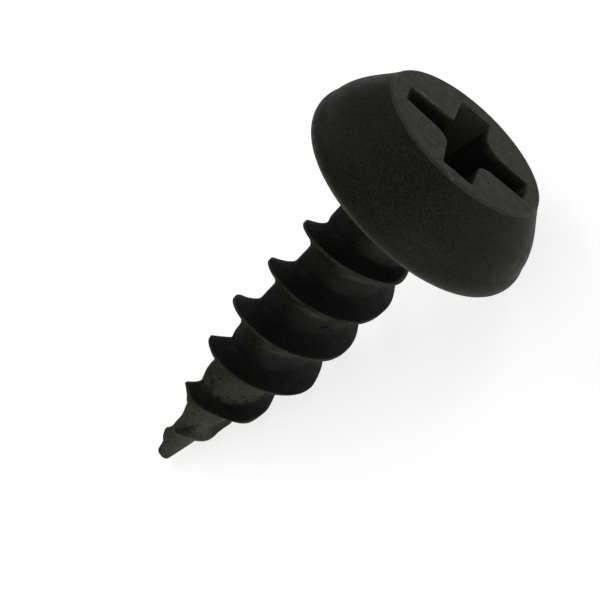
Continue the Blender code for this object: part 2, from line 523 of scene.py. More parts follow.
@dataclass
class ThreadedShank:
    """The shank with its thread and point, one closed skin wound from a single strip."""

    form: ScrewForm = field(default_factory=ScrewForm)
    resting: Resting = field(default_factory=Resting)
    steps_a_turn: int = 144
    rows: int = 84
    crowding: float = 0.72
    cap: float = 0.00015
    merge: float = 2e-7
    trim: float = 0.00001
    blunt_share: float = 0.6
    blunt_power: float = 0.4
    knock: float = 0.05
    knock_least: float = 0.25
    knock_stretch: float = 900.0
    knock_grain: Grain = (1.6, 3.0, 0.5)
    pinch_reach: float = 0.0042
    pinch: float = 0.12
    pinch_turn: float = 0.52
    marks: tuple[Mark, ...] = (
        Mark(345.0, 0.00115, 40.0, 0.00050, -0.00013),
        Mark(340.0, 0.00280, 30.0, 0.00040, -0.00003),
        Mark(200.0, 0.00120, 70.0, 0.00160, 0.00003),
        Mark(-20.0, 0.00420, 45.0, 0.00350, 0.00003),
        Mark(-41.0, 0.00607, 5.0, 0.00012, -0.00005),
        Mark(-25.0, 0.00605, 50.0, 0.00035, 0.00006),
        Mark(185.0, 0.00610, 40.0, 0.00050, -0.00004),
        Mark(12.0, 0.00730, 20.0, 0.00030, -0.00006),
        Mark(-15.0, 0.00768, 20.0, 0.00025, 0.00004),
        Mark(185.0, 0.00660, 40.0, 0.00030, -0.00005),
        Mark(185.0, 0.00785, 40.0, 0.00060, 0.00007),
        Mark(-50.0, 0.00795, 48.0, 0.00032, 0.00014),
        Mark(195.0, 0.00896, 45.0, 0.00022, 0.00013),
        Mark(-12.0, 0.00915, 34.0, 0.00045, -0.00011),
        Mark(185.0, 0.00965, 50.0, 0.00050, -0.00006),
        Mark(200.0, 0.01012, 36.0, 0.00026, -0.00012),
        Mark(185.0, 0.01052, 42.0, 0.00026, 0.00010),
    )

    def tree(self, finish: bpy.types.Material) -> bpy.types.NodeTree:
        """The node tree that winds the strip.

        Args:
            finish: The steel's finish.

        Returns:
            The tree, with named inputs.
        """
        form = self.form
        tree = bpy.data.node_groups.new("threaded shank", "GeometryNodeTree")
        face = tree.interface
        face.new_socket("Columns", in_out="INPUT", socket_type="NodeSocketInt")
        face.new_socket("Rows", in_out="INPUT", socket_type="NodeSocketInt")
        for size in Size:
            face.new_socket(size.value, in_out="INPUT", socket_type="NodeSocketFloat")
        face.new_socket("Geometry", in_out="OUTPUT", socket_type="NodeSocketGeometry")
        graph = Graph(tree)
        given = graph.add("NodeGroupInput")
        turns, first, lead, cap, crowding, rough = (Wire(graph, given.outputs[size.value]) for size in Size)
        grid = graph.add(
            "GeometryNodeMeshGrid",
            {
                "Size X": 1.0,
                "Size Y": 1.0,
                "Vertices X": given.outputs["Columns"],
                "Vertices Y": given.outputs["Rows"],
            },
        )
        along, across, _ = graph.parts(graph.wire("GeometryNodeInputPosition"))
        turn = (along + 0.5) * turns
        row = across + 0.5
        wave = (row * (2 * math.tau) - math.pi).math("SINE")
        crowded = row - crowding * wave / (2 * math.tau)
        angle = turn * math.tau
        nominal = first + lead * (turn - crowded)
        height = (nominal + form.lean_at(angle, -nominal)).most(self.trim - form.length).least(cap)
        depth = -height
        away = ((crowded * 2.0).math("FRACT") - 0.5) * form.spacing
        radius = form.radius_at(depth, away)
        for mark in self.marks:
            radius = radius + mark.shape(angle, depth)
        left = (form.length - self.trim - depth) / (form.tip * self.blunt_share)
        blunt = 1.0 - (1.0 - left.unit()) ** 2.0
        radius = radius * blunt**self.blunt_power
        radius = radius * (cap - height).ramp(0.0, form.hair)
        round_it = graph.vector(angle.math("COSINE"), angle.math("SINE"), height * self.knock_stretch)
        knocks = graph.grain(round_it, *self.knock_grain) - 0.5
        near_tip = (depth - (form.length - self.pinch_reach)).ramp(0.0, self.pinch_reach)
        radius = radius * (1.0 + knocks * rough * (self.knock_least + near_tip))
        radius = radius * (1.0 + near_tip * self.pinch * (angle * 2.0 + self.pinch_turn).math("COSINE"))
        shift = depth * (form.bend / form.length)
        x = radius * angle.math("COSINE") + shift * math.cos(form.bend_turn)
        y = radius * angle.math("SINE") + shift * math.sin(form.bend_turn)
        wound = {"Geometry": grid.outputs["Mesh"], "Position": graph.vector(x, y, height)}
        placed = graph.add("GeometryNodeSetPosition", wound)
        joined = {"Geometry": placed.outputs[0], "Distance": self.merge}
        merged = graph.add("GeometryNodeMergeByDistance", joined)
        smooth = graph.add("GeometryNodeSetShadeSmooth", {"Geometry": merged.outputs[0]})
        turned = graph.add(
            "GeometryNodeTransform",
            {
                "Geometry": smooth.outputs[0],
                "Translation": self.resting.matrix().to_translation(),
                "Rotation": self.resting.matrix().to_euler(),
            },
        )
        real = graph.add("GeometryNodeRealizeInstances", {"Geometry": turned.outputs[0]})
        dressed = graph.add("GeometryNodeSetMaterial", {"Geometry": real.outputs[0], "Material": finish})
        graph.add("NodeGroupOutput", {"Geometry": dressed.outputs[0]})
        return tree

    def build(self, finish: bpy.types.Material) -> bpy.types.Object:
        """Winds the shank and makes it a plain mesh.

        Args:
            finish: The steel's finish.

        Returns:
            The shank.
        """
        turns = math.ceil((self.cap + 2 * self.form.lean - self.form.foot) / self.form.lead + 1)
        settings = {
            "Columns": turns * self.steps_a_turn + 1,
            "Rows": self.rows + 1,
            Size.TURNS.value: float(turns),
            Size.FIRST_HEIGHT.value: self.form.foot,
            Size.LEAD.value: self.form.lead,
            Size.CAP.value: self.cap,
            Size.CROWDING.value: self.crowding,
            Size.ROUGHNESS.value: self.knock,
        }
        tree = self.tree(finish)
        holder = bpy.data.objects.new("shank_strip", bpy.data.meshes.new("shank_strip"))
        bpy.context.scene.collection.objects.link(holder)
        modifier = holder.modifiers.new("shank", "NODES")
        modifier.node_group = tree
        for item in tree.interface.items_tree:
            if item.in_out == "INPUT":
                modifier[item.identifier] = settings[item.name]
        shank = plain_mesh(holder, "screw_shank")
        shank.data.materials.clear()
        shank.data.materials.append(finish)
        return shank


@dataclass(frozen=True)
class Wing:
    """One wing of the cross recess, and the round of the web that follows it anticlockwise."""

    reach: float
    tip_width: float
    root_width: float
    web_corner: float

    def shrunk(self, end: float, side: float) -> "Wing":
        """The wing's outline lower down, where its end and its sides have come in.

        Args:
            end: How far the end has come in.
            side: How far each side has come in.

        Returns:
            The smaller wing.
        """
        widths = (self.tip_width - 2 * side, self.root_width - 2 * side)
        return Wing(self.reach - end, *widths, self.web_corner + side)

    @property
    def slope(self) -> float:
        """How much each side comes in along the wing's length."""
        return (self.root_width - self.tip_width) / 2 / self.reach

    def web(self, following: "Wing") -> Vector:
        """Where this wing's left side meets the right side of the wing that follows it.

        Args:
            following: That wing.

        Returns:
            The inner corner of the web between them.
        """
        own, other = self.root_width / 2, following.root_width / 2
        y = (own - self.slope * other) / (1.0 - self.slope * following.slope)
        return Vector((other - following.slope * y, y))


@dataclass
class PanHead:
    """The flat topped pan head and its cross recess."""

    resting: Resting = field(default_factory=Resting)
    diameter: float = 0.007055
    top_diameter: float = 0.00514
    height: float = 0.00258
    rim: float = 0.00064
    top_edge: float = 0.00011
    crown: float = 0.000105
    wings: tuple[Wing, ...] = (
        Wing(0.00207, 0.00095, 0.00112, 0.00070),
        Wing(0.00197, 0.00098, 0.00114, 0.00024),
        Wing(0.00203, 0.00074, 0.00114, 0.00050),
        Wing(0.00197, 0.00096, 0.00114, 0.00042),
    )
    recess_turn: float = math.radians(2.4)
    recess_middle: tuple[float, float] = (0.0, -0.0001)
    depth: float = 0.0019
    floor_drop: float = 0.00025
    floor_share: float = 0.15
    tip_corner: float = 0.00009
    end_taper: float = math.radians(26.5)
    side_taper: float = math.radians(4.5)
    lip: float = 0.00005
    turn_steps: int = 240
    overshoot: float = 0.0003
    nick: float = 0.000024
    torn: float = 5.0
    torn_corner: tuple[float, float] = (0.0003, 0.0002)
    worn_depth: float = 4.0
    rough_scale: float = 9000.0
    rough_share: float = 0.25
    chip_scale: float = 3500.0
    chip_from: float = 0.25
    chip_share: float = 2.5
    edge_steps: int = 9
    side_steps: int = 20
    rim_steps: int = 22
    tip_steps: int = 6
    web_steps: int = 12
    lip_levels: int = 6
    wall_levels: int = 16
    end_points: tuple[float, ...] = (0.35, 0.65)
    side_points: tuple[float, ...] = (0.25, 0.5, 0.75)
    web_points: tuple[float, ...] = (0.3, 0.6, 0.9)
    sharp_angle: float = math.radians(30.0)
    flat_normal: float = 0.99999

    def profile(self) -> list[tuple[float, float]]:
        """The head's half section, from the middle of its top down to the bearing face and the axis.

        Returns:
            Points of radius and height.
        """
        rim = (self.diameter / 2 - self.rim, self.rim)
        edge = (self.top_diameter / 2 - self.top_edge, self.height - self.top_edge)
        run, rise = rim[0] - edge[0], edge[1] - rim[1]
        lean = math.atan2(run, rise) + math.asin((self.rim - self.top_edge) / math.hypot(run, rise))
        normal = (math.cos(lean), math.sin(lean))
        points = [(0.0, self.height)]
        for angle in np.linspace(math.pi / 2, lean, self.edge_steps):
            out, up = self.top_edge * math.cos(angle), self.top_edge * math.sin(angle)
            points.append((edge[0] + out, edge[1] + up))
        high = points[-1]
        low = (rim[0] + self.rim * normal[0], rim[1] + self.rim * normal[1])
        for share in np.linspace(0, 1, self.side_steps)[1:-1]:
            out = self.crown * CROWN_PEAK * share * share * (1 - share)
            points.append(tuple(high[i] + (low[i] - high[i]) * share + normal[i] * out for i in (0, 1)))
        for angle in np.linspace(lean, -math.pi / 2, self.rim_steps):
            points.append((rim[0] + self.rim * math.cos(angle), rim[1] + self.rim * math.sin(angle)))
        points.append((0.0, 0.0))
        return points

    def turned(self) -> bpy.types.Object:
        """The head before its recess, turned from its half section.

        Returns:
            The solid.
        """
        points = self.profile()
        ring = [(math.cos(a), math.sin(a)) for a in np.arange(self.turn_steps) * math.tau / self.turn_steps]
        vertices = [(0.0, 0.0, points[0][1])]
        for radius, height in points[1:-1]:
            vertices += [(radius * c, radius * s, height) for c, s in ring]
        vertices.append((0.0, 0.0, points[-1][1]))
        count = self.turn_steps
        levels = len(points) - 2
        faces = [tuple(1 + i for i in range(count))]
        for level in range(levels - 1):
            for i in range(count):
                j = (i + 1) % count
                a, b = 1 + level * count, 1 + (level + 1) * count
                faces.append((a + i, b + i, b + j, a + j))
        last = 1 + (levels - 1) * count
        faces.append(tuple(last + i for i in reversed(range(count))))
        mesh = bpy.data.meshes.new("head")
        mesh.from_pydata(vertices, [], faces)
        mesh.validate()
        head = bpy.data.objects.new("head", mesh)
        bpy.context.scene.collection.objects.link(head)
        return head

    def corner(self, at: Vector, before: Vector, after: Vector, radius: float, steps: int) -> list[Vector]:
        """Points of the arc that rounds one corner of an outline.

        Args:
            at: The corner.
            before: The point before it.
            after: The point after it.
            radius: The arc's radius.
            steps: How many steps the arc has.

        Returns:
            The points, in order.
        """
        back = (before - at).normalized()
        ahead = (after - at).normalized()
        half = back.angle(ahead) / 2
        middle = at + (back + ahead).normalized() * radius / math.sin(half)
        first = at + back * radius / math.tan(half) - middle
        turn = -first.angle_signed(at + ahead * radius / math.tan(half) - middle)
        return [middle + Matrix.Rotation(turn * step / steps, 2) @ first for step in range(steps + 1)]

    def outline(self, depth: float, grow: float = 0.0) -> list[Vector]:
        """The cross at a depth below the head's top.

        Args:
            depth: The depth.
            grow: How far the outline is moved outwards, for the worn lip.

        Returns:
            Its points, once round.
        """
        end = depth * math.tan(self.end_taper) - grow
        side = depth * math.tan(self.side_taper) - grow
        wings = [wing.shrunk(end, side) for wing in self.wings]
        round_end = self.tip_corner + grow
        points = []
        for quarter, wing in enumerate(wings):
            turn = Matrix.Rotation(quarter * math.pi / 2 + self.recess_turn, 2)
            half = wing.tip_width / 2
            after = wings[quarter - 3]
            low, high, inner = Vector((wing.reach, -half)), Vector((wing.reach, half)), wing.web(after)
            before = Matrix.Rotation(-math.pi / 2, 2) @ wings[quarter - 1].web(wing)
            across = Vector((after.tip_width / 2, after.reach))
            outline = self.corner(low, before, high, round_end, self.tip_steps)
            outline += [low.lerp(high, share) for share in self.end_points]
            outline += self.corner(high, low, inner, round_end, self.tip_steps)
            web = self.corner(inner, high, across, wing.web_corner, self.web_steps)
            outline += [outline[-1].lerp(web[0], share) for share in self.side_points]
            outline += web
            leaving = inner + (across - inner) * (1.0 - self.tip_corner * 3 / after.reach)
            outline += [web[-1].lerp(leaving, share) for share in self.web_points]
            points += [turn @ point + Vector(self.recess_middle) for point in outline]
        return points

    def nicked(self, point: Vector, depth: float) -> float:
        """How far the rough walls and the nicked lip of the recess stand out at a point of its outline.

        Args:
            point: The point.
            depth: Its depth below the head's top.

        Returns:
            The distance outwards.
        """
        rough = noise.noise(Vector((point.x, point.y, depth)) * self.rough_scale) * self.rough_share
        chip = max(noise.noise(Vector((point.x, point.y, 0.0)) * self.chip_scale) - self.chip_from, 0.0)
        worn = max(1.0 - max(depth, 0.0) / (self.lip * self.worn_depth), 0.0)
        in_corner = point.x > self.torn_corner[0] and point.y > self.torn_corner[1]
        torn = 1.0 + self.torn * worn * float(in_corner)
        return (rough + chip * self.chip_share * worn) * torn * self.nick

    def cutter(self) -> bpy.types.Object:
        """The solid that the recess is cut with, its lip rounded and a little nicked.

        Returns:
            The cutter.
        """
        levels = [(-self.overshoot, self.lip)]
        for angle in np.linspace(0, math.pi / 2, self.lip_levels):
            levels.append((self.lip * (1 - math.cos(angle)), self.lip * (1 - math.sin(angle))))
        levels += [(depth, 0.0) for depth in np.linspace(self.lip, self.depth, self.wall_levels)[1:]]
        vertices: list[Vector] = []
        for depth, grow in levels:
            for point in self.outline(max(depth, 0.0), grow):
                out = point * (1.0 + self.nicked(point, depth) / point.length)
                vertices.append(Vector((out.x, out.y, self.height - depth)))
        count = len(vertices) // len(levels)
        share = self.floor_share
        for point in vertices[-count:]:
            vertices.append(Vector((point.x * share, point.y * share, point.z - self.floor_drop)))
        faces = [tuple(range(count))]
        for level in range(len(levels)):
            a, b = level * count, (level + 1) * count
            faces += [(a + i, b + i, b + (i + 1) % count, a + (i + 1) % count) for i in range(count)]
        faces.append(tuple(len(vertices) - 1 - i for i in range(count)))
        mesh = bpy.data.meshes.new("recess")
        mesh.from_pydata([tuple(v) for v in vertices], [], faces)
        mesh.validate()
        cutter = bpy.data.objects.new("recess", mesh)
        bpy.context.scene.collection.objects.link(cutter)
        return cutter

    def build(self, finish: bpy.types.Material) -> bpy.types.Object:
        """Cuts the recess and lays the head down.

        Args:
            finish: The steel's finish.

        Returns:
            The head.
        """
        solid, cutter = self.turned(), self.cutter()
        boolean = solid.modifiers.new("recess", "BOOLEAN")
        boolean.operation = "DIFFERENCE"
        boolean.solver = "EXACT"
        boolean.object = cutter
        head = plain_mesh(solid, "screw_head")
        bpy.data.objects.remove(cutter, do_unlink=True)
        mesh = head.data
        mesh.shade_smooth()
        mesh.set_sharp_from_angle(angle=self.sharp_angle)
        self.part_flats(mesh)
        mesh.transform(self.resting.matrix())
        mesh.materials.clear()
        mesh.materials.append(finish)
        return head

    def part_flats(self, mesh: bpy.types.Mesh) -> None:
        """Keeps the shading of the flat top and of the bearing face apart from the rounds beside them.

        Args:
            mesh: The head's mesh, on its own axis.
        """
        flat = [abs(face.normal.z) > self.flat_normal for face in mesh.polygons]
        seen: dict[tuple[int, int], list[bool]] = {}
        for face in mesh.polygons:
            for key in face.edge_keys:
                seen.setdefault(key, []).append(flat[face.index])
        for edge in mesh.edges:
            sides = seen.get(edge.key, [])
            if len(sides) == 2 and sides[0] != sides[1]:
                edge.use_edge_sharp = True


@dataclass(frozen=True)
class Stroke:
    """A short scratch or nick on the head's top, where the steel shines through the coat."""

    start: tuple[float, float]
    end: tuple[float, float]
    reach: float
    share: float
    core: float = 0.4

    def shape(self, x: Wire, y: Wire) -> Wire:
        """How bare the steel is at a place of the top.

        Args:
            x: The place along the recess's first wing.
            y: The place across it.

        Returns:
            The share.
        """
        run, rise = self.end[0] - self.start[0], self.end[1] - self.start[1]
        across, up = x - self.start[0], y - self.start[1]
        along = ((across * run + up * rise) / (run * run + rise * rise)).unit()
        away = ((across - along * run) ** 2.0 + (up - along * rise) ** 2.0) ** 0.5
        return away.fall(self.reach * self.core, self.reach) * self.share


@dataclass(frozen=True)
class Noises:
    """The three noises that a finish is broken up with: cloudy, mottled and fine."""

    cloud: Wire
    mottle: Wire
    fine: Wire


@dataclass(frozen=True)
class Coat:
    """How the coat is at a place: the shares of its pale, deep and bare colours and of its matt look, which
    carry wear and painted light and shade alike.
    """

    pale: Wire
    deep: Wire
    bare_and_highlight: Wire
    matt: Wire


@dataclass(frozen=True)
class ThreadWearAndPaintedLight:
    """Where the coat of the shank is worn or stained, and where light and shade are painted on it.

    Depths run from the bearing face. The bands of the crest, the flank, the painted light patch, the painted
    shadow and the groove run along the axis from the last or the next crest, and that of the tip from the
    point.
    """

    form: ScrewForm
    # Painted shade on the side of the shank that is turned away from the light; that side is also made more
    # matt.
    shaded_side_turn: float = math.radians(170.0)
    shaded_side_reach: Band = (60.0, 25.0)
    shaded_side_deep: float = 0.1
    shaded_side_matt: float = 0.55
    thread_end: float = 0.001
    thread_fade: float = 0.0004
    # The crest is painted lighter, partly as worn coat and partly as a painted highlight.
    crest_band: Band = (0.00001, 0.00006)
    crest_pale: float = 0.7
    crest_bare: float = 0.35
    crest_mottle: Band = (0.30, 0.60)
    # Painted shade on the head-side flank of each ridge.
    flank_start: Band = (0.00004, 0.00010)
    flank_end: Band = (0.00048, 0.00085)
    flank_deep: float = 0.6
    # A painted light patch on the lower side, just past each crest and wider towards the point: lighter,
    # less deep, and partly of the bare colour.
    lower_depths: Band = (0.0050, 0.0076)
    lit_patch_turn: float = math.radians(300.0)
    lit_patch_reach: Band = (62.0, 18.0)
    lit_patch_start: Band = (0.00003, 0.00012)
    lit_patch_end: Band = (0.00022, 0.00048)
    lit_patch_spread: float = 0.0002
    lit_patch_share: float = 1.7
    lit_patch_deep: float = 0.6
    lit_patch_bare: float = 0.4
    lit_patch_bare_from: float = 0.5
    lit_patch_bare_most: float = 1.2
    lower_side: float = 0.5
    lower_spread: float = 0.00088
    lower_share: float = 0.6
    stroke_stretch: float = 0.0005
    stroke_step: float = 0.001
    stroke_grain: Grain = (9000.0, 3.0, 0.6)
    # Streak shares that break up the painted light patch and the tones.
    worn_least: float = 0.3
    worn_stroke: Band = (0.38, 0.60)
    worn_stroke_share: float = 0.6
    worn_mottle: Band = (0.40, 0.56)
    worn_mottle_share: float = 0.4
    # The point is painted lighter, partly as worn coat and partly as painted light.
    tip_band: Band = (0.0027, 0.0021)
    tip_pale: float = 0.8
    tip_bare: float = 0.25
    speckle: Band = (0.54, 0.68)
    speckle_bare: float = 0.3
    shadow_band: Band = (0.0004, 0.0008)
    shadow_deep: float = 0.35
    groove_turn: float = math.radians(260.0)
    groove_reach: Band = (48.0, 34.0)
    groove_past: Band = (0.00022, 0.00036)
    groove_before: Band = (0.00004, 0.00014)
    groove_top: Band = (0.0077, 0.0080)
    groove_foot: Band = (0.0088, 0.0091)
    groove_stroke: Band = (0.4, 0.6)
    groove_least: float = 0.7
    stain_mottle: Band = (0.35, 0.55)
    stain_least: float = 0.6
    cloud_share: float = 0.15
    base_deep: float = 0.3
    tone_bare: float = 0.12
    tone_tip_bare: float = 0.5
    tones: tuple[Mark, ...] = (
        Mark(287.0, 0.00092, 34.0, 0.00028, 1.0),
        Mark(304.0, 0.00396, 5.0, 0.00007, -1.8),
        Mark(309.0, 0.00388, 4.0, 0.00006, -1.8),
        Mark(320.0, 0.00396, 4.0, 0.00005, -1.5),
        Mark(238.0, 0.00360, 22.0, 0.00014, -0.6),
        Mark(262.0, 0.00338, 22.0, 0.00014, -0.7),
        Mark(286.0, 0.00314, 22.0, 0.00014, -0.6),
        Mark(243.0, 0.00988, 14.0, 0.00012, -0.8),
        Mark(253.0, 0.00974, 14.0, 0.00013, -0.8),
        Mark(263.0, 0.00959, 14.0, 0.00014, -0.8),
        Mark(273.0, 0.00942, 14.0, 0.00014, -0.7),
        Mark(283.0, 0.00922, 14.0, 0.00012, -0.6),
        Mark(308.0, 0.00932, 38.0, 0.00042, 1.3),
        Mark(304.0, 0.00985, 32.0, 0.00045, 1.0),
    )

    def angle(self, x: Wire, y: Wire, z: Wire) -> Wire:
        """The turn about the shank's slightly bent axis.

        Args:
            x: The place along the recess's first wing.
            y: The place across it.
            z: The height above the bearing face.

        Returns:
            The turn.
        """
        shift, turn = self.form.bend / self.form.length, self.form.bend_turn
        return (y + z * (shift * math.sin(turn))).math("ARCTAN2", x + z * (shift * math.cos(turn)))

    def groove(self, angle: Wire, depth: Wire, past: Wire, before: Wire, stroke: Wire) -> Wire:
        """The black groove along the last whole crest.

        Args:
            angle: The turn about the axis.
            depth: The depth below the bearing face.
            past: The distance past the last crest.
            before: The distance to the next crest.
            stroke: The noise drawn out along the thread.

        Returns:
            The share of black.
        """
        round_it = angle.facing(self.groove_turn, self.groove_reach)
        across = past.fall(*self.groove_past).most(before.fall(*self.groove_before))
        along = depth.ramp(*self.groove_top) - depth.ramp(*self.groove_foot)
        return round_it * across * along * (self.groove_least + stroke.ramp(*self.groove_stroke))

    def coat(self, place: Place, noises: Noises) -> Coat:
        """How the coat of the shank is at a place.

        Args:
            place: The place on the screw's own axis.
            noises: The noises that break it up.

        Returns:
            The coat there.
        """
        x, y, z = place
        form, graph, mottle, depth = self.form, x.graph, noises.mottle, -z
        angle = self.angle(x, y, z)
        past = form.past_crest(angle, z)
        before = form.spacing - past
        # Painted shade on the side turned away from the light.
        shaded_side = angle.facing(self.shaded_side_turn, self.shaded_side_reach)
        threaded = (depth - form.start_depth).ramp(0.0, form.run_in)
        threaded = threaded * (depth - form.length + self.thread_end).fall(0.0, self.thread_fade)
        # The crest: partly worn coat, partly a painted highlight.
        crest = past.least(before).fall(*self.crest_band) * threaded
        # Painted shade on the head-side flank.
        flank = before.ramp(*self.flank_start) * before.fall(*self.flank_end) * threaded
        lower = depth.ramp(*self.lower_depths)
        side = (angle.facing(self.lit_patch_turn, self.lit_patch_reach) + lower * self.lower_side).unit()
        end = side * (1.0 - lower) * self.lit_patch_spread + lower * self.lower_spread
        below = past.ramp(*self.lit_patch_start) * (past - end).fall(*self.lit_patch_end)
        drawn_out = graph.vector(angle * self.stroke_stretch, past, lower * self.stroke_step)
        stroke = graph.grain(drawn_out, *self.stroke_grain)
        worn = self.worn_least + self.worn_stroke_share * stroke.ramp(*self.worn_stroke)
        worn = worn + self.worn_mottle_share * mottle.ramp(*self.worn_mottle)
        # A painted light patch on the lower side below each crest.
        lit_patch = side * below * worn * (self.lit_patch_share + lower * self.lower_share)
        # The point: partly worn coat, partly painted light.
        tip = depth.ramp(form.length - self.tip_band[0], form.length - self.tip_band[1])
        shadow = (1.0 - side) * past.ramp(*self.shadow_band) * (1.0 - lower)
        toned, stained = 0.0 * x, self.groove(angle, depth, past, before, stroke)
        for mark in self.tones:
            if mark.rise > 0.0:
                toned = toned + mark.shape(angle, depth)
            else:
                stained = stained - mark.shape(angle, depth)
        stain_share = self.stain_least + (1.0 - self.stain_least) * mottle.ramp(*self.stain_mottle)
        stained = (stained * stain_share).unit()
        pale = noises.cloud * self.cloud_share + lit_patch.least(1.0) + tip * self.tip_pale
        pale = (pale + crest * self.crest_pale + toned * worn) * (1.0 - stained)
        deep = flank * self.flank_deep + self.base_deep + shadow * self.shadow_deep
        deep = deep + shaded_side * self.shaded_side_deep - noises.cloud * self.cloud_share
        deep = (deep - lit_patch * self.lit_patch_deep).unit()
        deep = (deep * (1.0 - tip) * (1.0 - crest)).most(stained)
        bare_and_highlight = crest * mottle.ramp(*self.crest_mottle) * self.crest_bare
        bare_and_highlight = bare_and_highlight + tip * (self.tip_bare + noises.fine.ramp(*self.speckle) * self.speckle_bare)
        bare_and_highlight = bare_and_highlight + (lit_patch - self.lit_patch_bare_from).most(0.0).least(self.lit_patch_bare_most) * self.lit_patch_bare
        bare_and_highlight = (bare_and_highlight + toned * worn * (self.tone_bare + tip * self.tone_tip_bare)) * (1.0 - stained)
        return Coat(pale, deep, bare_and_highlight.unit(), (shaded_side * self.shaded_side_matt).most(stained))


@dataclass(frozen=True)
class HeadWearAndPaintedLight:
    """Where the coat of the head is worn, and where light and shade are painted on it. Heights run from the
    bearing face.
    """

    head: PanHead = field(default_factory=PanHead)
    flat_top: Band = (0.00248, 0.00252)
    top_pale: float = 0.1
    top_grain_pale: float = 0.4
    top_bare: float = 0.03
    top_grain_bare: float = 0.12
    top_grain: Grain = (12000.0, 2.0, 0.7)
    top_grain_band: Band = (0.40, 0.60)
    # The outer top edge is painted lighter, partly as worn coat and partly as a painted highlight.
    edge_band: Band = (0.00244, 0.00248)
    edge_pale: float = 0.4
    edge_bare: float = 0.3
    edge_mottle: Band = (0.2, 0.5)
    # A painted highlight along the lower rim of the head, on one side.
    rim_turn: float = math.radians(262.0)
    rim_reach: Band = (62.0, 32.0)
    rim_heights: Band = (0.00022, 0.00028)
    rim_bare: float = 0.4
    # Painted shade inside the recess, darker and more matt, except where painted light lies on the far wall
    # and near the lip.
    recess_reach: Band = (0.0020, 0.00215)
    recess_mouth: Band = (0.00250, 0.00256)
    recess_foot: Band = (0.0003, 0.0005)
    recess_deep: float = 0.7
    # Painted light on the end wall of the far wing, stronger higher up, with a painted shadow edge across
    # it.
    far_wall: float = 0.00187
    far_wall_band: Band = (0.00004, 0.00008)
    lit_wall_pale: float = 0.5
    lit_wall_bare: float = 0.3
    lit_wall_heights: Band = (0.0010, 0.0026)
    shade_edge: float = 0.00047
    shade_slope: float = 0.285
    shade_band: Band = (-0.00006, 0.00006)
    # Painted light on the upper walls of the left and right wings near the lip.
    wing_start: Band = (0.00030, 0.00045)
    upper_side: Band = (0.0, 0.0001)
    right_lip: Band = (0.00228, 0.00248)
    right_least: float = 0.3
    right_mottle: Band = (0.42, 0.54)
    right_mottle_share: float = 0.9
    left_lip: Band = (0.0021, 0.0025)
    left_share: float = 0.6
    left_end: Band = (0.00165, 0.00180)
    lip_pale: float = 0.5
    cloud_share: float = 0.2
    nick_heights: Band = (0.00248, 0.00253)
    strokes: tuple[Stroke, ...] = (
        Stroke((-0.00170, 0.00042), (-0.00167, 0.00045), 0.00008, 1.0),
        Stroke((-0.00160, 0.00041), (-0.00156, 0.00043), 0.00007, 1.0),
        Stroke((-0.00140, 0.00038), (-0.00113, 0.00049), 0.00005, 0.9),
        Stroke((-0.00014, -0.00248), (0.00002, -0.00252), 0.00005, 1.0),
        Stroke((-0.00071, 0.00171), (-0.00040, 0.00186), 0.00004, 0.25),
        Stroke((-0.00040, 0.00186), (0.00022, 0.00197), 0.00004, 0.3),
    )

    def painted_lip_light(self, place: Place, mottle: Wire) -> Wire:
        """Where light is painted on the upper walls of the left and right wings, near their lip.

        Args:
            place: The place on the screw's own axis.
            mottle: The mottled noise.

        Returns:
            The share rubbed.
        """
        x, y, z = place
        upper = y.ramp(*self.upper_side)
        worn = self.right_least + self.right_mottle_share * mottle.ramp(*self.right_mottle)
        right = x.ramp(*self.wing_start) * upper * z.ramp(*self.right_lip) * worn
        left = (-x).ramp(*self.wing_start) * upper * z.ramp(*self.left_lip) * self.left_share
        return (right + left + (-x).ramp(*self.left_end) * z.ramp(*self.left_lip)).unit()

    def lit_wall(self, place: Place) -> Wire:
        """Where light is painted on the end wall of the far wing, down to the edge of its painted shadow.

        Args:
            place: The place on the screw's own axis.

        Returns:
            The share lit.
        """
        x, y, z = place
        sunk = self.head.height - z
        far = y + x * math.tan(self.head.recess_turn) - self.far_wall + sunk * math.tan(self.head.end_taper)
        shade = (x - self.shade_edge + sunk * self.shade_slope).ramp(*self.shade_band)
        return far.math("ABSOLUTE").fall(*self.far_wall_band) * (1.0 - shade)

    def coat(self, place: Place, noises: Noises) -> Coat:
        """How the coat of the head is at a place.

        Args:
            place: The place on the screw's own axis.
            noises: The noises that break it up.

        Returns:
            The coat there.
        """
        x, y, z = place
        graph = x.graph
        radius = (x * x + y * y) ** 0.5
        top = z.ramp(*self.flat_top)
        # Top edge: partly worn coat, partly a painted highlight.
        edge = radius.ramp(*self.edge_band) * top
        coarse = graph.grain(graph.vector(x, y, z), *self.top_grain).ramp(*self.top_grain_band)
        recessed = radius.fall(*self.recess_reach) * z.fall(*self.recess_mouth) * z.ramp(*self.recess_foot)
        # Painted light on the far wall.
        lit = recessed * self.lit_wall(place)
        # Painted light on the wing walls near the lip.
        lip_light = recessed * self.painted_lip_light(place, noises.mottle)
        # Painted highlight along the lower rim.
        rim = z.fall(*self.rim_heights) * y.math("ARCTAN2", x).facing(self.rim_turn, self.rim_reach)
        nicked = 0.0 * x
        for stroke in self.strokes:
            nicked = nicked.most(stroke.shape(x, y))
        # Painted shade inside the recess.
        recess_shade = recessed * (1.0 - lit) * (1.0 - lip_light)
        pale = noises.cloud * self.cloud_share + top * (self.top_pale + coarse * self.top_grain_pale)
        pale = pale + edge * self.edge_pale + rim + lit * self.lit_wall_pale + lip_light * self.lip_pale
        bare_and_highlight = top * (self.top_bare + coarse * self.top_grain_bare) + rim * self.rim_bare
        bare_and_highlight = bare_and_highlight + edge * noises.mottle.ramp(*self.edge_mottle) * self.edge_bare
        bare_and_highlight = bare_and_highlight + lit * z.ramp(*self.lit_wall_heights) * self.lit_wall_bare
        bare_and_highlight = bare_and_highlight + nicked * z.ramp(*self.nick_heights)
        return Coat(pale, recess_shade * self.recess_deep, bare_and_highlight.unit(), recess_shade)


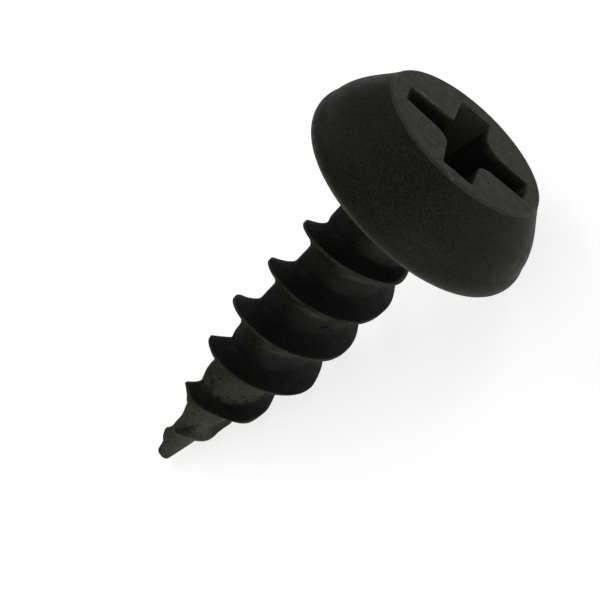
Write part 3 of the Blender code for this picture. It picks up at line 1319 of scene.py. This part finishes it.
@dataclass(frozen=True)
class PhosphateFinish:
    """Black phosphate on steel: dull near black with a faint olive cast, worn lighter in places, and with
    painted light and shade.
    """

    # deep serves for stains and for painted shade; the bare colour serves for worn steel and for painted
    # highlights and light.
    deep: tuple[float, float, float] = (0.0032, 0.0048, 0.0044)
    dark: tuple[float, float, float] = (0.0148, 0.0140, 0.0134)
    pale: tuple[float, float, float] = (0.0312, 0.0330, 0.0240)
    bare_and_highlight: tuple[float, float, float] = (0.1100, 0.1130, 0.0860)
    gloss: float = 0.11
    rough_low: float = 0.5
    rough_high: float = 0.64
    rough_mottle: Band = (0.3, 0.7)
    rough_fine: float = 0.2
    rough_matt: float = 0.4
    cloud_grain: Grain = (900.0, 3.0, 0.55)
    cloud_band: Band = (0.38, 0.66)
    mottle_grain: Grain = (5200.0, 3.0, 0.6)
    mottle_band: Band = (0.4, 0.72)
    mottle_pale: float = 0.18
    fine_grain: Grain = (23000.0, 1.0, 0.6)
    fine_band: Band = (0.38, 0.62)
    fine_pale: float = 0.6
    grain_less: float = 0.12
    light_specks: Band = (0.46, 0.66)
    light_speck_share: float = 0.25
    dark_specks: Band = (0.36, 0.50)
    dark_speck_share: float = 0.35
    bump_strength: float = 0.4
    bump_depth: float = 0.000012
    bump_fine: float = 0.7
    bump_mottle: float = 0.8

    def build(self, name: str, wear_and_light: ThreadWearAndPaintedLight | HeadWearAndPaintedLight, resting: Resting) -> bpy.types.Material:
        """Makes the finish for one piece.

        Args:
            name: The material's name.
            wear_and_light: Where that piece's coat is worn, and where light and shade are painted on it.
            resting: How the screw lies, to read places on its own axis.

        Returns:
            The material.
        """
        material = bpy.data.materials.new(name)
        material.use_nodes = True
        tree = material.node_tree
        graph = Graph(tree)
        shader = tree.nodes["Principled BSDF"]
        place = self.place(graph, resting)
        local = graph.vector(*place)
        cloud = graph.grain(local, *self.cloud_grain).ramp(*self.cloud_band)
        mottle = graph.grain(local, *self.mottle_grain)
        fine = graph.grain(local, *self.fine_grain)
        coat = wear_and_light.coat(place, Noises(cloud, mottle, fine))
        grain = mottle.ramp(*self.mottle_band) * self.mottle_pale
        grain = grain + fine.ramp(*self.fine_band) * self.fine_pale
        colour = self.mixed(graph, (coat.pale + grain - self.grain_less).unit(), self.dark, self.pale)
        colour = self.mixed(graph, coat.deep, colour, self.deep)
        colour = self.mixed(graph, coat.bare_and_highlight, colour, self.bare_and_highlight)
        colour = self.mixed(graph, fine.ramp(*self.light_specks) * self.light_speck_share, colour, self.pale)
        colour = self.mixed(graph, fine.fall(*self.dark_specks) * self.dark_speck_share, colour, self.deep)
        rough = self.rough_low + (self.rough_high - self.rough_low) * mottle.ramp(*self.rough_mottle)
        rough = (rough + (fine - 0.5) * self.rough_fine + coat.matt * self.rough_matt).least(1.0)
        height = fine * self.bump_fine + mottle * self.bump_mottle
        bump = graph.wire(
            "ShaderNodeBump",
            {"Strength": self.bump_strength, "Distance": self.bump_depth, "Height": height},
        )
        tree.links.new(colour.socket, shader.inputs["Base Color"])
        tree.links.new(rough.socket, shader.inputs["Roughness"])
        tree.links.new(bump.socket, shader.inputs["Normal"])
        shader.inputs["Metallic"].default_value = 0.0
        shader.inputs["Specular IOR Level"].default_value = self.gloss
        return material

    def place(self, graph: Graph, resting: Resting) -> Place:
        """The shaded place on the screw's own axis.

        Args:
            graph: The tree.
            resting: How the screw lies.

        Returns:
            Its x, y and z.
        """
        back = resting.matrix().inverted()
        world = graph.wire("ShaderNodeTexCoord", output="Object")
        rows = list(back)[:3]
        turned = [graph.vector_math("DOT_PRODUCT", world, tuple(row[:3]), output="Value") for row in rows]
        return tuple(wire + row[3] for wire, row in zip(turned, rows))

    def mixed(self, graph: Graph, share: Wire, first: object, second: object) -> Wire:
        """A mix of two colours.

        Args:
            graph: The tree.
            share: How much of the second.
            first: The first colour, or a wire that carries it.
            second: The second colour.

        Returns:
            The mixed colour.
        """
        ends = [end if isinstance(end, Wire) else (*end, 1.0) for end in (first, second)]
        # Inputs 6 and 7 and output 2 are the node's sockets for colours.
        return graph.wire("ShaderNodeMix", {0: share, 6: ends[0], 7: ends[1]}, output=2, data_type="RGBA")


@dataclass(frozen=True)
class Lamp:
    """One soft square lamp."""

    name: str
    place: tuple[float, float, float]
    size: float
    power: float

    def build(self, aim: Vector) -> bpy.types.Object:
        """Hangs the lamp and turns it to the screw.

        Args:
            aim: The point that it faces.

        Returns:
            The lamp.
        """
        light = bpy.data.lights.new(self.name, "AREA")
        light.energy = self.power
        light.size = self.size
        lamp = bpy.data.objects.new(self.name, light)
        lamp.location = self.place
        lamp.rotation_euler = (aim - lamp.location).to_track_quat("-Z", "Y").to_euler()
        bpy.context.scene.collection.objects.link(lamp)
        return lamp


@dataclass(frozen=True)
class Studio:
    """The white table, the lamps round it and the camera above."""

    camera_place: tuple[float, float, float] = (0.01581, -0.035925, 0.039866)
    camera_turn: tuple[float, float, float] = (33.846668, 33.937057, -15.614839)
    lens: float = 117.549488
    near_clip: float = 0.001
    aim: tuple[float, float, float] = (0.0, 0.0, 0.003)
    floor_size: float = 0.6
    floor_glow: float = 0.72
    floor_colour: tuple[float, float, float] = (0.8, 0.8, 0.79)
    floor_gloss: float = 0.885
    sky_gloss: float = 0.125
    air: float = 0.276
    lamps: tuple[Lamp, ...] = (
        Lamp("lamp_key", (0.16, 0.098, 0.067), 0.08, 0.052),
        Lamp("lamp_back", (-0.04, 0.15, 0.126), 0.1, 0.055),
        Lamp("lamp_front", (-0.02, -0.19, 0.04), 0.08, 0.079),
    )

    def camera(self) -> bpy.types.Object:
        """Puts up the camera and makes it the scene's own.

        Returns:
            The camera.
        """
        data = bpy.data.cameras.new("camera")
        data.lens = self.lens
        data.clip_start = self.near_clip
        camera = bpy.data.objects.new("camera", data)
        camera.location = self.camera_place
        camera.rotation_euler = Euler([math.radians(turn) for turn in self.camera_turn])
        bpy.context.scene.collection.objects.link(camera)
        bpy.context.scene.camera = camera
        return camera

    def floor(self) -> bpy.types.Object:
        """Lays the white table top, which glows a little to the camera and keeps its shadows.

        Returns:
            The floor.
        """
        half = self.floor_size / 2
        mesh = bpy.data.meshes.new("floor")
        corners = [(-half, -half, 0.0), (half, -half, 0.0), (half, half, 0.0), (-half, half, 0.0)]
        mesh.from_pydata(corners, [], [(0, 1, 2, 3)])
        floor = bpy.data.objects.new("floor", mesh)
        bpy.context.scene.collection.objects.link(floor)
        material = bpy.data.materials.new("white_table")
        material.use_nodes = True
        tree = material.node_tree
        tree.nodes.clear()
        graph = Graph(tree)
        seen = graph.wire("ShaderNodeBsdfDiffuse", {"Color": (*self.floor_colour, 1.0)})
        glow = graph.wire("ShaderNodeEmission", {"Color": WHITE, "Strength": self.floor_glow})
        both = graph.wire("ShaderNodeAddShader", (seen, glow))
        shine = graph.wire("ShaderNodeEmission", {"Color": WHITE, "Strength": self.floor_gloss})
        path = graph.add("ShaderNodeLightPath")
        mirrored = graph.wire("ShaderNodeMixShader", (path.outputs["Is Glossy Ray"], seen, shine))
        mix = graph.wire("ShaderNodeMixShader", (path.outputs["Is Camera Ray"], mirrored, both))
        graph.add("ShaderNodeOutputMaterial", {"Surface": mix})
        mesh.materials.append(material)
        return floor

    def world(self) -> None:
        """Fills the room with dim light, and shows white to the camera."""
        world = bpy.data.worlds.new("room")
        bpy.context.scene.world = world
        world.use_nodes = True
        tree = world.node_tree
        tree.nodes.clear()
        graph = Graph(tree)
        path = graph.add("ShaderNodeLightPath")
        direct = Wire(graph, path.outputs["Is Camera Ray"])
        mirrored = Wire(graph, path.outputs["Is Glossy Ray"]).most(path.outputs["Is Transmission Ray"])
        strength = (1.0 - mirrored) * (1.0 - direct) * self.air + direct + mirrored * self.sky_gloss
        light = graph.wire("ShaderNodeBackground", {"Color": WHITE, "Strength": strength})
        graph.add("ShaderNodeOutputWorld", {"Surface": light})

    def build(self) -> None:
        """Sets up the whole studio."""
        bpy.context.scene.view_settings.view_transform = "Standard"
        self.world()
        self.floor()
        for lamp in self.lamps:
            lamp.build(Vector(self.aim))
        self.camera()


def main() -> None:
    """Builds the screw, its finish, the camera and the light."""
    logging.basicConfig(level=logging.INFO, format="%(name)s: %(message)s")
    resting, form = Resting(), ScrewForm()
    finish = PhosphateFinish()
    head, shank = PanHead(resting=resting), ThreadedShank(form=form, resting=resting)
    head_steel = finish.build("head_steel", HeadWearAndPaintedLight(head), resting)
    shank_steel = finish.build("shank_steel", ThreadWearAndPaintedLight(form), resting)
    for piece in (head.build(head_steel), shank.build(shank_steel)):
        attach(piece, BODY)
        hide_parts(NODE)
        piece.data.calc_loop_triangles()
        LOG.info("%s: %d triangles", piece.name, len(piece.data.loop_triangles))
    Studio().build()


if __name__ == "__main__":
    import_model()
    main()
    bpy.context.view_layer.update()
